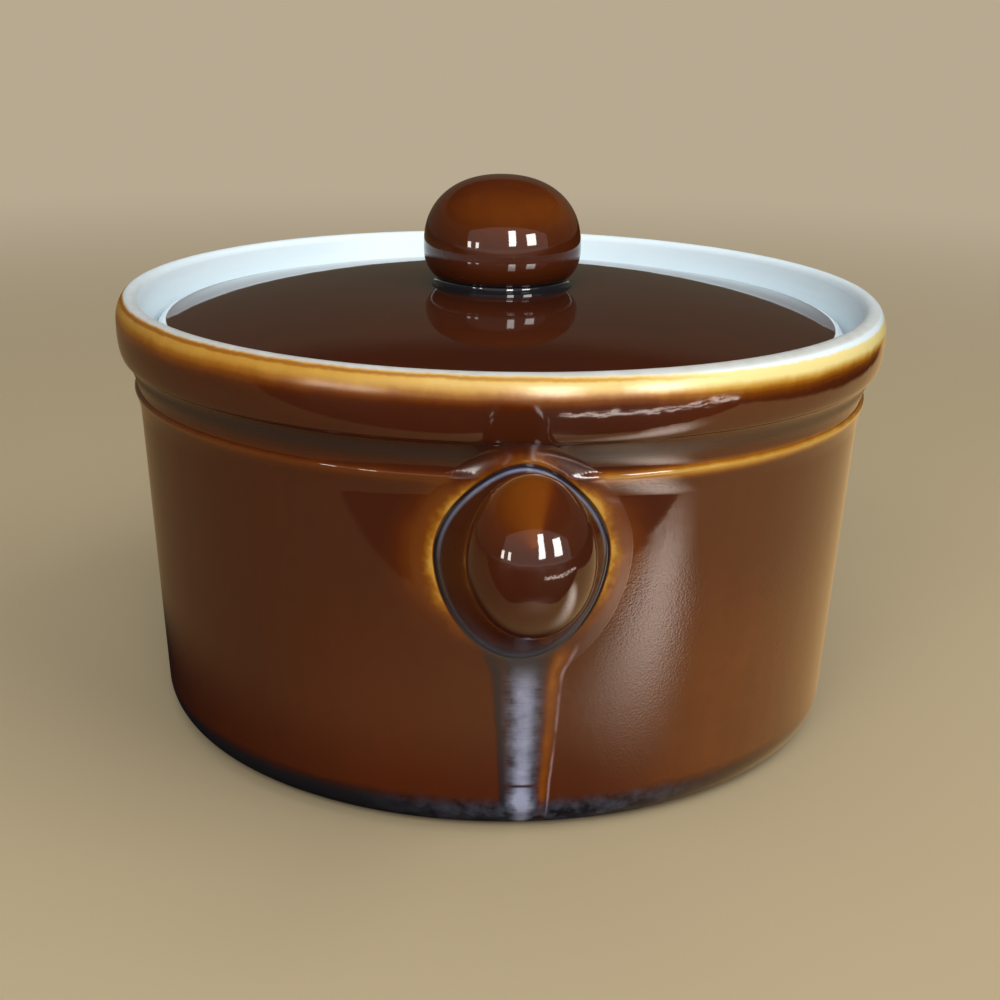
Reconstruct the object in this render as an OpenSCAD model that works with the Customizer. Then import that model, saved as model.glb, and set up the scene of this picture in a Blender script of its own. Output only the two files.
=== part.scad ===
// Casserole dish: a round glazed dish with one stick handle and a loose lid that drops into its rim.
// Millimetres. +Z is up, the dish stands on z = 0 with its axis on Z, and the handle points along -Y.

/* [Dish] */
// Outside diameter of the rim band at its fullest
rim_d = 180; // [150:1:220]
// Height of the rim's crown above the table
dish_h = 101; // [85:1:130]
// How far the wall leans in from its top to its base, on the radius
wall_lean = 3.7; // [1:0.1:8]
// Radius of the rounded edge between the wall and the base
base_round = 8; // [4:0.5:12]
// Thickness of the wall just above the floor
wall_t = 6.1; // [5:0.1:9]
// Thickness of the floor under the inside
floor_t = 8; // [6:0.5:12]
// Radius of the rounded corner between the floor and the wall inside
floor_round = 9; // [4:0.5:14]
// Width of the ring that the dish stands on
foot_w = 9; // [5:0.5:14]
// Depth of the hollow inside that ring
foot_hollow = 1.6; // [1:0.1:3]

/* [Rim] */
// How far the rim band stands out from the top of the wall, on the radius
band_out = 4.7; // [3:0.1:7]
// Height of the band, from its lower edge to the crown
band_h = 13.6; // [10:0.1:16]
// How far the band's lower edge draws in from its fullest line
band_draw = 1.6; // [0.3:0.1:2.5]
// Height of the hollow cove under the band, down to the ridge
cove_h = 7.6; // [6:0.1:10]
// How far the ridge stands out from the top of the wall
ridge_out = 1.2; // [0.8:0.1:2]
// Radius of the ridge's crest
ridge_round = 0.9; // [0.4:0.1:1.1]
// Height of the sweep from the wall up to the ridge
ridge_h = 5.2; // [3:0.1:7]
// Width of the crown's outer shoulder
crown_round = 3; // [2:0.1:4]
// Height of the crown's outer shoulder
crown_h = 5.5; // [3:0.1:6.5]
// Radius of the crown's inner shoulder
crown_inner_round = 2; // [1:0.1:3]
// Width of the flat between the crown's two shoulders
crown_flat = 0.2; // [0.1:0.1:2]
// Angle up the outer shoulder at which the brown glaze ends and the white begins
white_line_angle = 54; // [20:1:80]

/* [Lid seat] */
// Depth of the ledge that carries the lid, below the crown
seat_drop = 11.5; // [10:0.5:16]
// How far the wall above the ledge slopes in from the crown to the ledge
seat_slope = 2.6; // [1:0.1:4]
// Width of the ledge
ledge_w = 5.2; // [4:0.1:7]
// Radius of the corner at the back of the ledge
ledge_corner = 1.5; // [0.8:0.1:3]
// Radius of the ledge's inner edge
ledge_edge = 1.2; // [0.8:0.1:2]

/* [Lid] */
// Gap round the lid, between its edge and the wall above the ledge
lid_gap = 1.2; // [0.5:0.1:2]
// Height of the lid's edge above the ledge
lid_edge_h = 5.3; // [4:0.1:6]
// Thickness of the lid away from its edge
lid_t = 6; // [5:0.1:8]
// Rise of the lid's dome from its edge to its middle
lid_rise = 7; // [5:0.5:14]
// Radius of the lid's upper edge
lid_edge_round = 2.5; // [1.5:0.1:3]
// Angle up that edge at which the white glaze ends and the brown begins
lid_line_angle = 70; // [10:1:80]
// Radius of the lid's lower edge
lid_foot_round = 1.2; // [0.8:0.1:1.4]

/* [Knob] */
// Diameter of the knob at its fullest
knob_d = 37.2; // [30:0.2:44]
// Height of the knob above the lid
knob_h = 25.5; // [21:0.5:32]
// Height of the knob's fullest line above the lid
knob_full_h = 9.3; // [8:0.1:13]
// Fullness of the knob's shoulder, where 2 is an ellipse
knob_fullness = 2.25; // [2:0.05:3]
// Fullness of the ball below its fullest line
knob_low_fullness = 2.7; // [2:0.05:3]
// How far the waist lies in from the knob's fullest line, on the radius
waist_in = 3.1; // [1.5:0.1:5]
// Height of the waist between the ball and the foot
waist_h = 1.6; // [1:0.1:2.5]
// How far the knob's foot flares past the waist, on the radius
foot_flare = 1.1; // [0.6:0.1:2]
// Height of the edge of the knob's foot
foot_edge_h = 0.3; // [0.2:0.1:0.6]

/* [Handle] */
// Length of the handle from the wall to its tip, measured level
handle_reach = 48; // [35:1:80]
// Angle that the handle rises at
handle_rise = 22; // [5:0.5:30]
// Depth of the handle's axis, where it meets the wall, below the crown
handle_drop = 39; // [34:0.5:45]
// Width of the handle where it leaves its pad
root_w = 33.5; // [28:0.5:40]
// Height of the handle where it leaves its pad
root_h = 41; // [32:0.5:44]
// How far the thin pad on the wall stands out round the root
pad_w = 3; // [1:0.1:4]
// Thickness of the pad
pad_t = 1.8; // [1:0.1:3]
// Thickness of the slip that joins the pad to the wall
slip_t = 0.1; // [0.1:0.05:0.4]
// Width of the handle's neck
neck_w = 20.4; // [16:0.2:24]
// Distance from the handle's neck out to its bulb, measured level
neck_to_bulb = 17; // [10:0.5:20]
// Width of the handle's bulb
bulb_w = 22.8; // [18:0.2:28]
// Height of the handle over its width, at the neck and the bulb
grip_ratio = 1.26; // [1:0.01:1.4]
// Length of the handle's rounded end, measured level
tip_len = 11; // [8:0.5:14]
// Angle that the rounded end looks up
tip_tilt = 15; // [0:1:25]

/* [Glaze] */
// Thickness of the white glaze inside the dish and under the lid
white_t = 0.4; // [0.3:0.05:0.6]

/* [Hidden] */

// Steps along a curved stretch of an outline, along a small corner and along the dome or the knob's top
arc_steps = 8;
corner_steps = 5;
dome_steps = 14;
// Hollowness of the sweep under the ridge and of the cove under the band, where 1 is straight
sweep_power = 1.5;
cove_power = 1.7;
// Angles on the ridge's crest at which the lower and the upper sweep meet it
crest_low_angle = -45;
crest_high_angle = 70;
// Angle down the band's bulge at which its lower edge starts
band_edge_angle = -75;

// Dish, from the rim inwards and downwards
rim_r = rim_d / 2;
wall_top_r = rim_r - band_out;
base_r = wall_top_r - wall_lean;
band_z = dish_h - band_h;
ridge_z = band_z - cove_h;
ridge_r = wall_top_r + ridge_out;
// The shoulder ends at the band's fullest line at the latest
shoulder_h = min(crown_h, band_h / 2);
wall_top_z = ridge_z - ridge_h;
stand_r = base_r - base_round;
foot_in_r = stand_r - foot_w;
crown_in_r = rim_r - crown_round - crown_flat - crown_inner_round;
gallery_r = crown_in_r - seat_slope;
seat_z = dish_h - seat_drop;
ledge_in_r = gallery_r - ledge_w;
inner_base_r = base_r - wall_t;

// Knob's ball and foot
knob_r = knob_d / 2;
crest_h = knob_h - knob_full_h;
waist_drop = knob_full_h - waist_h;
waist_r = knob_r - waist_in;
// Powers of the ball's outline above and below its fullest line, and the depth that its lower half would have
// without the waist
top_power = 2 / knob_fullness;
low_power = 2 / knob_low_fullness;
waist_angle = acos(pow(waist_r / knob_r, 1 / low_power));
low_h = waist_drop / pow(sin(waist_angle), low_power);
knob_foot_r = waist_r + foot_flare;

// Lid
lid_r = gallery_r - lid_gap;
lid_top_r = lid_r - lid_edge_round;
lid_edge_z = seat_z + lid_edge_h;
lid_top_z = lid_edge_z + lid_rise;
// Radius at which the underside of the dome runs into the flat seating face
under_share = min(1, max(0, (lid_rise + lid_edge_h - lid_t) / lid_rise));
under_r = knob_foot_r + (lid_top_r - knob_foot_r) * sqrt(under_share);

// Heights of the knob on the lid
waist_z = lid_top_z + waist_h;
knob_full_z = lid_top_z + knob_full_h;

// Handle
handle_z = dish_h - handle_drop;
bulb_at = handle_reach - tip_len;
neck_at = bulb_at - neck_to_bulb;
// How much narrower the handle's section is at its top than at its bottom, at the root and the bulb
root_egg = -0.1;
bulb_egg = 0.03;
// How far the root's top is drawn in to a peak, and how close to the top that starts
root_peak = 0.31;
peak_power = 2;
// How quickly the root's flare dies away along the handle
flare_power = 2.2;
// Sizes of the rings across the handle's back, as shares of its pad
back_shares = [0.1, 0.4, 0.7];
// Points round each of the handle's rings, and the rings along its pad, shank, grip and rounded end
handle_sides = 40;
pad_rings = 3;
shank_rings = 8;
grip_rings = 4;
tip_rings = 6;
// Angle round the rounded end from each of its rings to the next
tip_ring_angle = 14;

// Points of an arc about (x, z), with radii rx and rz, from angle a to angle b
function arc(x, z, rx, rz, a, b, n = arc_steps) =
    [for (i = [0 : n]) let (t = a + (b - a) * i / n) [x + rx * cos(t), z + rz * sin(t)]];

function reversed(points) = [for (i = [len(points) - 1 : -1 : 0]) points[i]];

// Crest of the ridge, from below to above
ridge_crest = arc(ridge_r - ridge_round, ridge_z, ridge_round, ridge_round,
    crest_low_angle, crest_high_angle, corner_steps);

// Outside of the dish, from the middle of its base up to the edge of the white glaze
function outside_line() = concat(
    [[0, foot_hollow], [foot_in_r - foot_hollow, foot_hollow], [foot_in_r, 0]],
    arc(stand_r, base_round, base_round, base_round, -90, 0),
    sweep_line([wall_top_r, wall_top_z], ridge_crest[0], sweep_power),
    ridge_crest,
    sweep_line(ridge_crest[len(ridge_crest) - 1], [rim_r - band_draw, band_z], cove_power),
    arc(rim_r - band_draw, band_z + band_h / 2, band_draw, band_h / 2, band_edge_angle, 0, corner_steps),
    arc(rim_r - crown_round, dish_h - shoulder_h, crown_round, shoulder_h, 0, white_line_angle)
);

// A hollow sweep that leaves the lower point nearly upright and leans out to the higher one
function sweep_line(low, high, power, n = arc_steps) =
    [for (i = [0 : n]) let (t = i / n)
        [low[0] + (high[0] - low[0]) * pow(t, power), low[1] + (high[1] - low[1]) * t]];

// Inside of the dish, from the middle of its floor up to the edge of the white glaze, set back by t
function inside_line(t) = concat(
    [[0, floor_t - t]],
    arc(inner_base_r - floor_round, floor_t + floor_round, floor_round + t, floor_round + t, -90, 0),
    arc(ledge_in_r + ledge_edge, seat_z - ledge_edge, ledge_edge - t, ledge_edge - t, 180, 90, corner_steps),
    arc(gallery_r - ledge_corner, seat_z + ledge_corner,
        ledge_corner + t, ledge_corner + t, -90, 0, corner_steps),
    arc(crown_in_r + crown_inner_round, dish_h - crown_inner_round,
        crown_inner_round - t, crown_inner_round - t, 180, 90),
    arc(rim_r - crown_round, dish_h - shoulder_h, crown_round - t, shoulder_h - t, 90, white_line_angle)
);

// Height of the lid's dome at radius r
function dome_z(r) =
    lid_top_z - lid_rise * pow(max(0, r - knob_foot_r) / (lid_top_r - knob_foot_r), 2);

// Top of the lid, from its middle out to the edge of the white glaze
function lid_top_line() = concat(
    [[0, lid_top_z]],
    [for (i = [0 : dome_steps - 1]) let (r = knob_foot_r + (lid_top_r - knob_foot_r) * i / dome_steps)
        [r, dome_z(r)]],
    arc(lid_top_r, lid_edge_z - lid_edge_round, lid_edge_round, lid_edge_round, 90, lid_line_angle)
);

// Underside and edge of the lid, from its middle out to the edge of the white glaze, set back by t
function lid_under_line(t) = concat(
    [[0, lid_top_z - lid_t + t]],
    [for (i = [0 : dome_steps - 1]) let (r = knob_foot_r + (under_r - knob_foot_r) * i / dome_steps)
        [r, dome_z(r) - lid_t + t]],
    [[under_r, seat_z + t]],
    arc(lid_r - lid_foot_round, seat_z + lid_foot_round,
        lid_foot_round - t, lid_foot_round - t, -90, 0, corner_steps),
    arc(lid_top_r, lid_edge_z - lid_edge_round, lid_edge_round - t, lid_edge_round - t,
        0, lid_line_angle, corner_steps)
);

// Outline of the knob from the middle of its foot, up over the ball, to the middle of its top
function knob_line() = concat(
    [[0, lid_top_z], [knob_foot_r, lid_top_z]],
    arc(knob_foot_r, waist_z, foot_flare, waist_h - foot_edge_h, 270, 180, corner_steps),
    [for (i = [arc_steps : -1 : 0]) let (t = waist_angle * i / arc_steps)
        [knob_r * pow(cos(t), low_power), knob_full_z - low_h * pow(sin(t), low_power)]],
    [for (i = [1 : dome_steps]) let (t = 90 * i / dome_steps, r = knob_r * pow(cos(t), top_power))
        [i == dome_steps ? 0 : r, knob_full_z + crest_h * pow(sin(t), top_power)]]
);

// Radius of the straight wall at height z
function wall_r(z) = base_r + wall_lean * (z - base_round) / (wall_top_z - base_round);

// Radius at height z that the handle is stuck on: the wall, then straight out to the ridge and on to the band
function seat_r(z) =
    slip_t + max(
        wall_r(z),
        wall_top_r + ridge_out * (z - wall_top_z) / ridge_h,
        ridge_r + (rim_r - band_draw - ridge_r) * (z - ridge_z) / cove_h
    );

// Smooth step from 0 to 1
function ease(t) = let (c = min(1, max(0, t))) c * c * (3 - 2 * c);

// Half the handle's size across one direction, at distance u from the wall
function handle_half(u, root, neck, bulb) =
    u <= pad_t ? root + pad_w * (1 - sqrt(1 - pow(1 - u / pad_t, 2))) :
    u <= neck_at ? neck + (root - neck) * pow(1 - (u - pad_t) / (neck_at - pad_t), flare_power) :
    u <= bulb_at ? neck + (bulb - neck) * ease((u - neck_at) / (bulb_at - neck_at)) :
    bulb * sqrt(max(0, 1 - pow((u - bulb_at) / tip_len, 2)));

// Distances of the handle's rings from the wall
ring_at = concat(
    [for (i = [0 : pad_rings]) pad_t * i / pad_rings],
    [for (i = [1 : shank_rings]) pad_t + (neck_at - pad_t) * i / shank_rings],
    [for (i = [1 : grip_rings]) neck_at + (bulb_at - neck_at) * i / grip_rings],
    [for (i = [1 : tip_rings]) bulb_at + tip_len * sin(i * tip_ring_angle)]
);

// One ring of the handle, an egg that follows the wall's curve near the root and leans back near the tip
function handle_ring(u, share = 1) =
    let (
        half_w = share * handle_half(u, root_w / 2, neck_w / 2, bulb_w / 2),
        half_h = share * handle_half(u, root_h / 2, neck_w * grip_ratio / 2, bulb_w * grip_ratio / 2),
        along = ease(u / bulb_at),
        egg = root_egg + (bulb_egg - root_egg) * along,
        peak = root_peak * (1 - along),
        tilt = tip_tilt * along,
        axis_z = handle_z + u * tan(handle_rise)
    )
    [for (i = [0 : handle_sides - 1])
        let (
            a = 360 * i / handle_sides,
            x = half_w * cos(a) * (1 - egg * sin(a)) * (1 - peak * pow(max(0, sin(a)), peak_power)),
            rise = half_h * sin(a),
            z = axis_z + rise * cos(tilt),
            r = seat_r(z),
            bend = (r - sqrt(r * r - x * x)) * (1 - along)
        )
        [x, rise * sin(tilt) - (r * (1 - along) + seat_r(handle_z) * along + u - bend), z]];

// A solid through a stack of rings with the same number of points, closed flat at both ends
module loft(rings) {
    n = len(rings[0]);
    m = len(rings);
    points = [for (ring = rings) each ring];
    sides = [for (j = [0 : m - 2], i = [0 : n - 1])
        let (k = (i + 1) % n)
        each [[j * n + i, j * n + k, (j + 1) * n + k], [j * n + i, (j + 1) * n + k, (j + 1) * n + i]]];
    caps = [[for (i = [n - 1 : -1 : 0]) i], [for (i = [0 : n - 1]) (m - 1) * n + i]];
    polyhedron(points, concat(sides, caps));
}

module vessel() {
    color("#6b2c12") rotate_extrude() polygon(concat(outside_line(), reversed(inside_line(white_t))));
}

module white_lining() {
    color("#e9eef0") rotate_extrude() polygon(concat(inside_line(white_t), reversed(inside_line(0))));
}

module handle() {
    color("#7a3512") loft(concat(
        [for (share = back_shares) handle_ring(0, share)],
        [for (u = ring_at) handle_ring(u)]
    ));
}

module lid_plate() {
    color("#4a2110") rotate_extrude() polygon(concat(lid_under_line(white_t), reversed(lid_top_line())));
}

module lid_white_glaze() {
    color("#e9eef0") rotate_extrude() polygon(concat(lid_under_line(0), reversed(lid_under_line(white_t))));
}

module lid_knob() {
    color("#6e2e10") rotate_extrude() polygon(knob_line());
}

vessel();
white_lining();
handle();
lid_plate();
lid_white_glaze();
lid_knob();
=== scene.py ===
"""Casserole dish in brown glaze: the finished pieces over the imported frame, and a plain stage.

Lengths are metres. +Z is up, the dish stands on z = 0 with its axis on Z, and the handle points along -Y.
"""

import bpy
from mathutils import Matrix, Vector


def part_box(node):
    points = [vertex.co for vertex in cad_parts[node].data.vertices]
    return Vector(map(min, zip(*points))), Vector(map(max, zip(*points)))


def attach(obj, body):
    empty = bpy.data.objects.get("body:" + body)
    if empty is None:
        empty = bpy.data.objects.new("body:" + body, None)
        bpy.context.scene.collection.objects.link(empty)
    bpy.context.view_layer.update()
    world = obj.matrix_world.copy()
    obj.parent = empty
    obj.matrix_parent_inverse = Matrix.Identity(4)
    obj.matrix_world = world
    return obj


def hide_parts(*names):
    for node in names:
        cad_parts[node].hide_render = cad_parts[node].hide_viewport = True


bl_info = {
    "name": "Casserole Dish",
    "version": (1, 0, 0),
    "blender": (4, 5, 0),
    "location": "View3D > Sidebar > Casserole",
    "description": "Builds a brown glazed casserole dish with a stick handle and a loose lid",
    "category": "Add Mesh",
}

import math

import bmesh
import bpy
from bpy.props import FloatProperty, FloatVectorProperty, PointerProperty
from mathutils import Matrix, Vector, noise

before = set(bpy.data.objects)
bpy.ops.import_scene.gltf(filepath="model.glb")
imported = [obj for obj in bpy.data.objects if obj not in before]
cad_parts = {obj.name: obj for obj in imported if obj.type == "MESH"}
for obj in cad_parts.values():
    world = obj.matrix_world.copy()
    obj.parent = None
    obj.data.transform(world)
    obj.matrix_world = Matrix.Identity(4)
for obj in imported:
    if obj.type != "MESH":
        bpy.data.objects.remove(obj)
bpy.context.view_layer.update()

MM = 0.001

VESSEL_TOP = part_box("vessel")[1]
LINING_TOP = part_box("white_lining")[1]
LID_FOOT, LID_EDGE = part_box("lid_white_glaze")
KNOB_FOOT, KNOB_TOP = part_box("lid_knob")

# Steps round a spun piece, along an arc, along a long curve and over the ridge's crest
SPIN_STEPS = 320
ARC_STEPS = 12
CURVE_STEPS = 24
CREST_STEPS = 6
# Points of a spun piece that are closer than this become one
MERGE_DISTANCE = 1e-6
# Sides of the handle, rings of its bead, shank and tip, and how far the shank's rings crowd at the wall
HANDLE_SIDES = 240
BEAD_RINGS = 40
SHANK_RINGS = 44
TIP_RINGS = 18
RING_POWER = 1.5
# Faces that meet at more than this many degrees keep a sharp edge
SHARP_DEGREES = 50
# Roundness of the steps where the handle's root leaves the wall and goes over the ridge
PAD_BLEND = 0.6 * MM
# How quickly the root's flare dies away along the handle, and how close to the top its peak starts
FLARE_POWER = 2.2
PEAK_POWER = 2
# Hollowness of the sweep under the ridge and of the cove under the band, where 1 is straight
SWEEP_POWER = 1.5
COVE_POWER = 1.7
# How closely the wall's wobbles follow one another
WOBBLE_SCALE = 22
# Share of its full width that the glaze run has at the table, and the height in which the share grows by 1
RUN_FOOT_SHARE = 0.64
RUN_SPREAD = 100 * MM

# Depth of the plain brown glaze on each piece, from 0, bare, to 1, pooled
WALL_DEPTH = 0.72
LID_DEPTH = 0.75
KNOB_DEPTH = 0.67
SHANK_DEPTH = 0.73
# Roughness of the brown glaze on the dish and on the lid, and the refraction of every glaze
WALL_ROUGHNESS = 0.05
LID_ROUGHNESS = 0.045
GLAZE_IOR = 1.52
# Attributes of the handle's mesh: depth of the glaze, share of the bead on the wall, and painted highlight
# and painted reflected haze by the crease
GLAZE_DEPTH = "glaze_depth"
GLAZE_PAD = "glaze_pad"
CREASE_SHEEN = "crease_sheen"

# Width of the camera's sensor in millimetres, and the nearest distance that the camera sees
SENSOR_MM = 36
CLIP_START = 10 * MM
# Half the width of the floor, and the two ends of a streak of light that only the gloss shows
FLOOR_HALF = 6
STREAK_FROM = Vector((0.085, -0.379))
STREAK_TO = Vector((0.394, -0.235))
# Direction of a strip of glare on the floor in the gloss, half its length and half its width
GLARE_WAY = Vector((0.9, -0.44))
GLARE_LONG = 95 * MM
GLARE_WIDE = 32 * MM
# Brightness of the shelf in the gloss, on its left and on its right
SHELF_DIM = 0.8
SHELF_LIT = 2.2
# Half the width of the shelf's bow before the handle, and how far it bows out there
BOW_HALF = 70 * MM
BOW_OUT = 30 * MM
# What most lamps aim at
DISH_MIDDLE = (0, 0, 0.06)
# Lamps that only the gloss shows, and soft lamps that it doesn't: place, width, height, watts and colour
GLOSS_LAMPS = {
    "lamp_left": ((0.225, -1.07, 0.42), 0.20, 0.50, 7.5, (1.0, 0.98, 0.95)),
    "lamp_right": ((0.71, -0.84, 0.34), 0.27, 0.34, 6.5, (1.0, 0.98, 0.95)),
    "low_far": ((-0.855, -0.692, 0.17), 0.09, 0.15, 0.8, (1.0, 0.95, 0.88)),
    "low_near": ((-0.692, -0.855, 0.17), 0.09, 0.15, 0.8, (1.0, 0.95, 0.88)),
}
SOFT_LAMPS = {
    "key": ((0.95, -0.55, 1.1), 1.2, 1.2, 12.5, (1.0, 0.99, 0.97)),
    "fill": ((-0.3, -1.35, 1.0), 1.4, 1.0, 21, (0.98, 0.99, 1.0)),
    "top": ((0.1, 0.1, 1.4), 1.5, 1.5, 6, (0.98, 0.99, 1.0)),
}


def length(name, description, default):
    """A size in metres that the panel shows."""
    return FloatProperty(name=name, description=description, default=default, unit="LENGTH", precision=5)


def angle(name, description, degrees):
    """An angle that the panel shows in degrees."""
    return FloatProperty(name=name, description=description, default=math.radians(degrees), subtype="ANGLE")


def share(name, description, default):
    """A plain number."""
    return FloatProperty(name=name, description=description, default=default)


def colour(name, description, red, green, blue):
    """A colour in linear light."""
    return FloatVectorProperty(
        name=name, description=description, default=(red, green, blue), subtype="COLOR", size=3, min=0, max=1
    )


class DishSizes(bpy.types.PropertyGroup):
    """Sizes of the dish, from its base to its rim and the seat for the lid."""

    rim_r: length("Rim radius", "Outside radius of the rim band at its fullest", VESSEL_TOP.x)
    height: length("Height", "Height of the rim's crown above the table", LINING_TOP.z)
    wall_lean: length("Wall lean", "How far the wall leans in from its top to its base", 3.7 * MM)
    base_round: length("Base rounding", "Radius of the edge between the wall and the base", 8 * MM)
    wall_t: length("Wall", "Thickness of the wall just above the floor", 6.1 * MM)
    floor_t: length("Floor", "Thickness of the floor", 8 * MM)
    floor_round: length("Floor rounding", "Radius of the corner between floor and wall", 9 * MM)
    foot_w: length("Foot width", "Width of the ring that the dish stands on", 9 * MM)
    foot_hollow: length("Foot hollow", "Depth of the hollow inside that ring", 1.6 * MM)
    band_out: length("Band overhang", "How far the band stands out from the top of the wall", 4.7 * MM)
    band_h: length("Band height", "Height of the band, from its lower edge to the crown", 13.6 * MM)
    band_draw: length("Band draw", "How far the band's lower edge draws in", 1.6 * MM)
    cove_h: length("Cove height", "Height of the cove under the band", 7.6 * MM)
    ridge_out: length("Ridge overhang", "How far the ridge stands out from the top of the wall", 1.2 * MM)
    ridge_round: length("Ridge rounding", "Radius of the ridge's crest", 0.9 * MM)
    ridge_h: length("Ridge sweep", "Height of the sweep from the wall up to the ridge", 5.2 * MM)
    crown_round: length("Crown outer rounding", "Width of the crown's outer shoulder", 3 * MM)
    crown_h: length("Crown shoulder", "Height of the crown's outer shoulder", 5.5 * MM)
    crown_inner_round: length("Crown inner rounding", "Radius of the crown's inner shoulder", 2 * MM)
    crown_flat: length("Crown flat", "Width of the flat between the shoulders", 0.2 * MM)
    white_line: angle("White line", "Angle up the outer shoulder at which the lining ends", 54)
    glaze_line: angle("Glaze line", "Angle up the outer shoulder at which brown gives way to white", 67)
    glaze_slip: angle("Glaze slip", "How much lower that line runs on the right", 28)
    seat_slope: length("Seat slope", "How far the wall above the ledge slopes in", 2.6 * MM)
    ledge_w: length("Ledge width", "Width of the ledge that carries the lid", 5.2 * MM)
    ledge_corner: length("Ledge corner", "Radius of the corner at the back of the ledge", 1.5 * MM)
    ledge_edge: length("Ledge edge", "Radius of the ledge's inner edge", 1.2 * MM)
    white_t: length("White glaze", "Thickness of the white glaze", 0.4 * MM)
    run_w: length("Glaze run width", "Width of the run of glaze below the handle", 14 * MM)
    run_x: length("Glaze run place", "How far right of the handle the run comes down", 2.6 * MM)
    run_t: length("Glaze run relief", "How far the run stands out from the wall", 0.3 * MM)
    wobble: length("Wobble", "How far the thrown wall strays from true", 0.16 * MM)

    wall_top_r = property(lambda self: self.rim_r - self.band_out)
    base_r = property(lambda self: self.wall_top_r - self.wall_lean)
    band_z = property(lambda self: self.height - self.band_h)
    band_low_r = property(lambda self: self.rim_r - self.band_draw)
    ridge_z = property(lambda self: self.band_z - self.cove_h)
    ridge_r = property(lambda self: self.wall_top_r + self.ridge_out)
    wall_top_z = property(lambda self: self.ridge_z - self.ridge_h)
    crown_z = property(lambda self: self.height - self.crown_h)
    shoulder_r = property(lambda self: self.rim_r - self.crown_round)
    crown_in_r = property(lambda self: self.shoulder_r - self.crown_flat - self.crown_inner_round)
    gallery_r = property(lambda self: self.crown_in_r - self.seat_slope)
    inner_base_r = property(lambda self: self.base_r - self.wall_t)

    def wall_r(self, z):
        """Radius of the straight wall at height z."""
        return self.base_r + self.wall_lean * (z - self.base_round) / (self.wall_top_z - self.base_round)

    def pad_r(self, z):
        """Radius under the handle's root at height z: the wall, straight to the ridge and on to the band."""
        wall = self.wall_r(z)
        flank = self.wall_top_r + self.ridge_out * (z - self.wall_top_z) / self.ridge_h
        over = self.ridge_r + (self.band_low_r - self.ridge_r) * (z - self.ridge_z) / self.cove_h
        return wall + softened(flank - wall) + softened(over - max(flank, wall))


class LidSizes(bpy.types.PropertyGroup):
    """Sizes of the lid and its knob."""

    radius: length("Lid radius", "Outside radius of the lid's white edge", LID_EDGE.x)
    seat_z: length("Seat height", "Height of the ledge that the lid rests on", LID_FOOT.z)
    top_z: length("Dome top", "Height of the middle of the dome", KNOB_FOOT.z)
    edge_h: length("Edge height", "Height of the lid's edge above the ledge", 5.3 * MM)
    thickness: length("Thickness", "Thickness of the lid away from its edge", 6 * MM)
    edge_round: length("Edge rounding", "Radius of the lid's upper edge", 2.5 * MM)
    glaze_line: angle("Glaze line", "Angle up that edge at which the white ends and the brown begins", 70)
    foot_round: length("Foot rounding", "Radius of the lid's lower edge", 1.2 * MM)
    white_t: length("White glaze", "Thickness of the white glaze under the lid", 0.4 * MM)
    knob_r: length("Knob radius", "Radius of the knob at its fullest", KNOB_TOP.x)
    knob_h: length("Knob height", "Height of the knob above the lid", KNOB_TOP.z - KNOB_FOOT.z)
    knob_full_h: length("Knob's fullest line", "Height of the knob's fullest line above the lid", 9.3 * MM)
    knob_fullness: share("Knob fullness", "Fullness of the knob's shoulder, where 2 is an ellipse", 2.25)
    knob_low_fullness: share("Knob underside fullness", "Fullness of the ball below its fullest line", 2.7)
    waist_in: length("Waist depth", "How far the waist lies in from the knob's fullest line", 3.1 * MM)
    waist_h: length("Waist height", "Height of the waist between the ball and its foot", 1.6 * MM)
    foot_flare: length("Foot flare", "How far the knob's foot flares past the waist", 1.1 * MM)
    foot_edge_h: length("Foot edge", "Height of the edge of the knob's foot", 0.3 * MM)

    edge_z = property(lambda self: self.seat_z + self.edge_h)
    top_r = property(lambda self: self.radius - self.edge_round)
    waist_r = property(lambda self: self.knob_r - self.waist_in)
    knob_foot_r = property(lambda self: self.waist_r + self.foot_flare)

    @property
    def under_r(self):
        """Radius at which the underside of the dome runs into the flat seating face."""
        rise = self.top_z - self.edge_z
        part = math.sqrt((rise + self.edge_h - self.thickness) / rise)
        return self.knob_foot_r + (self.top_r - self.knob_foot_r) * part

    def dome_z(self, radius):
        """Height of the dome at a radius."""
        out = max(0, radius - self.knob_foot_r) / (self.top_r - self.knob_foot_r)
        return self.top_z - (self.top_z - self.edge_z) * out ** 2


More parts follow.
